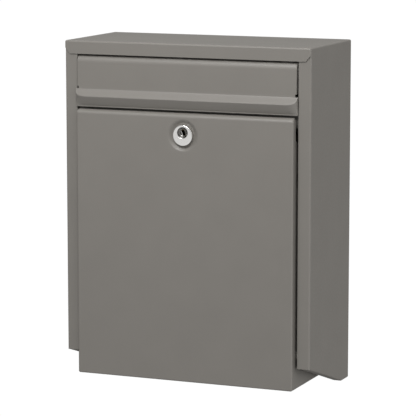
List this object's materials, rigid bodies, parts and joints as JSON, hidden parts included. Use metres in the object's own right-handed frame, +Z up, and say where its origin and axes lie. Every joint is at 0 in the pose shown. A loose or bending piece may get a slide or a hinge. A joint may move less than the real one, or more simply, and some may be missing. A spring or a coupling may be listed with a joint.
{
  "type": "wall letterbox",
  "caption": "Wall-mounted sheet-steel letterbox with a top-hinged letter flap and a lockable tilt-out hopper front.",
  "frame": {"origin": "centre of the four wall screw holes, on the wall face of the back panel", "axes": "+X to the viewer's right, +Y into the wall, +Z up; the front looks along -Y"},
  "size_m": [0.28, 0.133, 0.37],
  "materials": {
    "powder_coat": "satin fine-texture powder coat, warm grey",
    "zinc_plate": "bright zinc plate",
    "lock_chrome": "polished chrome plate",
    "plug_brass": "nickel-plated brass, dark with use",
    "bumper_rubber": "matt black rubber",
    "nylon": "natural nylon"
  },
  "bodies": {
    "cabinet": {"casing": "powder_coat", "back_panel": "powder_coat", "latch_rail": "powder_coat", "flap_pin_left": "zinc_plate", "flap_pin_right": "zinc_plate", "flap_bush_left": "nylon", "flap_bush_right": "nylon", "hopper_pin_left": "zinc_plate", "hopper_pin_right": "zinc_plate", "hopper_bush_left": "nylon", "hopper_bush_right": "nylon", "pin_caps": "zinc_plate", "flap_bumper_left": "bumper_rubber", "flap_bumper_right": "bumper_rubber", "hopper_bumper_left": "bumper_rubber", "hopper_bumper_right": "bumper_rubber"},
    "letter_flap": {"flap": "powder_coat"},
    "hopper": {"hopper_shell": "powder_coat", "hopper_floor": "powder_coat", "lock_housing": "lock_chrome", "lock_washer": "zinc_plate", "lock_nut": "zinc_plate"},
    "plug": {"lock_plug": "plug_brass", "lock_wafers": "plug_brass", "lock_cam": "zinc_plate", "cam_washer": "zinc_plate", "cam_screw": "zinc_plate"}
  },
  "joints": [
    {"name": "flap_lift", "type": "hinge", "parent": "cabinet", "child": "letter_flap", "pos_m": [0, -0.1164, 0.1619], "axis": [-1, 0, 0], "range_deg": [0, 80]},
    {"name": "hopper_tilt", "type": "hinge", "parent": "cabinet", "child": "hopper", "pos_m": [0, -0.114, -0.14], "axis": [1, 0, 0], "range_deg": [0, 38]},
    {"name": "lock_turn", "type": "hinge", "parent": "hopper", "child": "plug", "pos_m": [0, -0.12, 0.0924], "axis": [0, 1, 0], "range_deg": [0, 90]}
  ]
}
